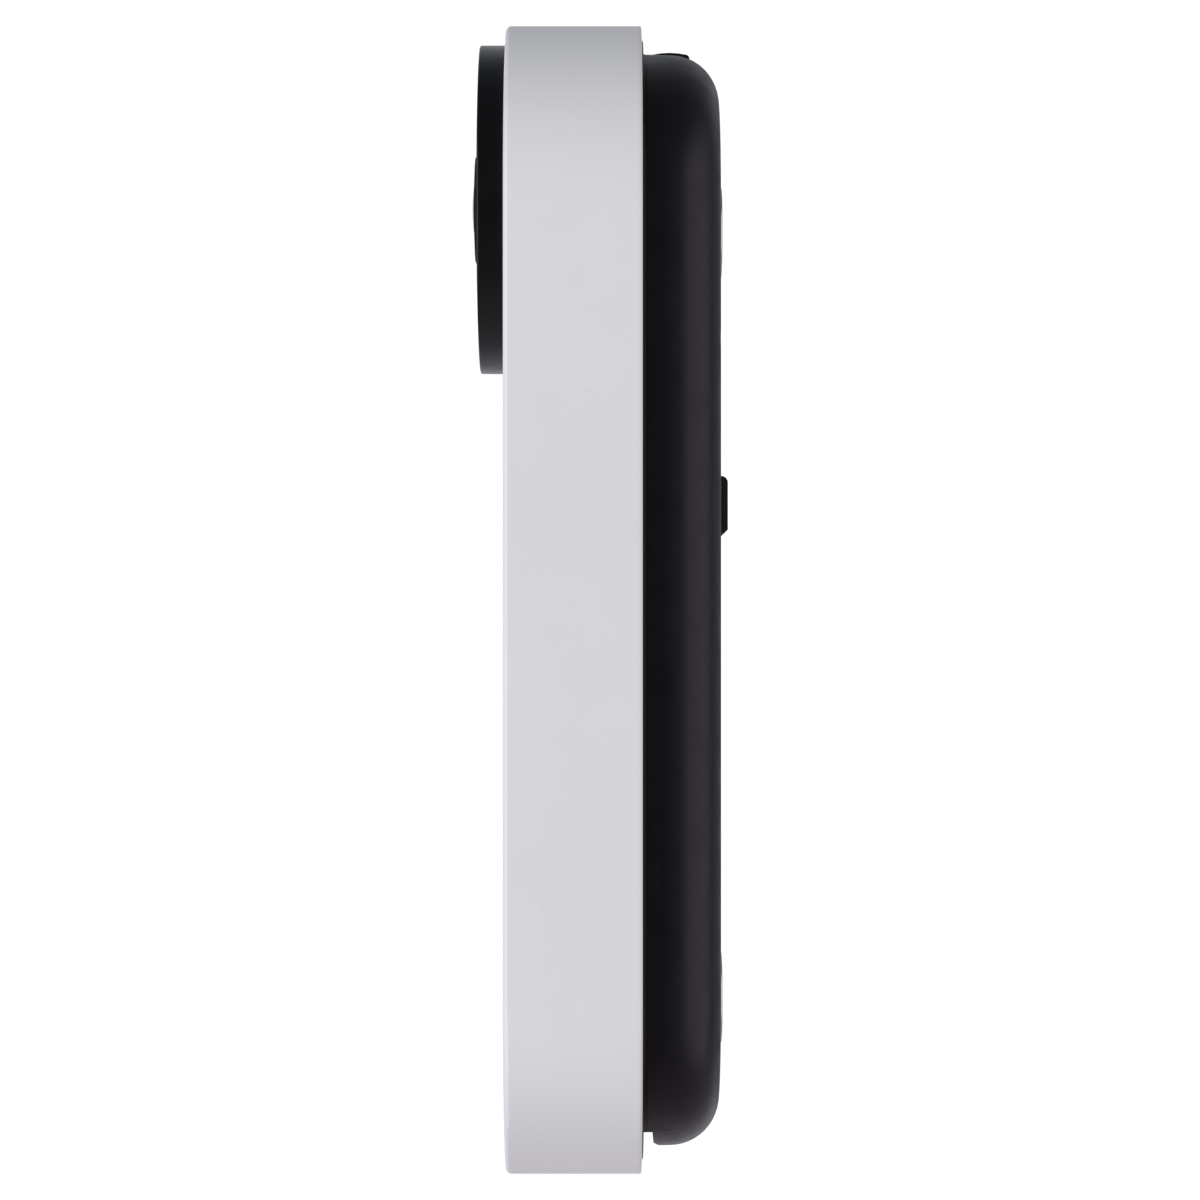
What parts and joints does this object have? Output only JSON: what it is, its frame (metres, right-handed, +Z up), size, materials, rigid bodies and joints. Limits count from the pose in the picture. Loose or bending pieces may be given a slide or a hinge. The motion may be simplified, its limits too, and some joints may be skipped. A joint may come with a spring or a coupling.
{
  "type": "video doorbell",
  "caption": "Slim wall-mounted video doorbell with round ends: a round camera disc above, a round push button below, and a black rear shell with a charging port under a rubber door.",
  "frame": {"origin": "centre of the rear shell's flat back face, at mid height of the casing", "axes": "+Z up; -Y forwards, towards the visitor; +X towards the right hand of a visitor who faces the doorbell"},
  "size_m": [0.045, 0.0312, 0.141],
  "materials": {
    "casing_white": "fine satin texture",
    "shell_black": "matte moulded",
    "ring_black": "matte moulded",
    "cover_black": "polished, infrared-clear",
    "trim_black": "satin",
    "lens_window": "polished",
    "lens_glass": "coated",
    "barrel_black": "matte",
    "button_white": "satin",
    "diffuser": "frosted",
    "rubber_black": "moulded",
    "rubber_grey": "moulded",
    "frame_black": "moulded",
    "board_green": "solder mask",
    "board_black": "solder mask",
    "chip_black": "moulded",
    "lamp_clear": "clear lens",
    "shield_tin": "tinned",
    "screw_steel": "zinc plated",
    "contact_steel": "bright nickel plated",
    "brass_lug": "plain",
    "battery_wrap": "film wrap",
    "foam_grey": "open cell",
    "flex_amber": "polyimide film",
    "wire_red": "insulated",
    "cone_paper": "formed film"
  },
  "bodies": {
    "housing": {"front_casing": "casing_white", "rear_shell": "shell_black", "shell_gasket": "rubber_grey", "camera_ring": "ring_black", "camera_ring_seal": "rubber_grey", "camera_cover": "cover_black", "lens_bezel": "trim_black", "lens_dome": "lens_window", "lens_baffle": "rubber_black", "ir_led_board": "board_black", "ir_leds": "lamp_clear", "camera_bracket": "frame_black", "lens_holder": "barrel_black", "lens_barrel": "barrel_black", "lens_elements": "lens_glass", "image_sensor": "chip_black", "sensor_board": "board_green", "light_ring": "diffuser", "button_seal": "rubber_grey", "button_switch": "chip_black", "button_board": "board_green", "ring_leds": "lamp_clear", "speaker_frame": "frame_black", "speaker_cone": "cone_paper", "speaker_magnet": "shield_tin", "speaker_gasket": "foam_grey", "speaker_leads": "wire_red", "microphone": "shield_tin", "mic_boot": "rubber_grey", "chassis": "frame_black", "main_board": "board_green", "shield_can": "shield_tin", "board_components": "chip_black", "wifi_antenna": "flex_amber", "io_board": "board_green", "charging_port": "shield_tin", "setup_switch": "chip_black", "battery_pack": "battery_wrap", "battery_pads": "foam_grey", "battery_lead": "wire_red", "upper_contact": "contact_steel", "lower_contact": "contact_steel", "contact_nuts": "screw_steel", "contact_lugs": "brass_lug", "contact_leads": "wire_red", "cover_anchor": "rubber_black", "camera_flex": "flex_amber", "button_flex": "flex_amber", "ring_screws": "screw_steel", "sensor_screws": "screw_steel", "button_board_screws": "screw_steel", "main_board_screws": "screw_steel", "io_board_screws": "screw_steel", "chassis_screws": "screw_steel", "shell_screws": "screw_steel"},
    "button": {"button_cap": "button_white", "switch_stem": "trim_black"},
    "port_door": {"port_cover": "rubber_black"},
    "setup_plunger": {"setup_button": "trim_black"}
  },
  "joints": [
    {"name": "button_press", "type": "slide", "parent": "housing", "child": "button", "axis": [0, 1, 0], "range_m": [0, 0.0006], "stiffness_N_per_m": 4000},
    {"name": "port_cover_flip", "type": "hinge", "parent": "housing", "child": "port_door", "pos_m": [0, 0.0001, 0.0142], "axis": [1, 0, 0], "range_deg": [0, 110]},
    {"name": "setup_button_press", "type": "slide", "parent": "housing", "child": "setup_plunger", "axis": [0, -1, 0], "range_m": [0, 0.0003], "stiffness_N_per_m": 3000}
  ]
}
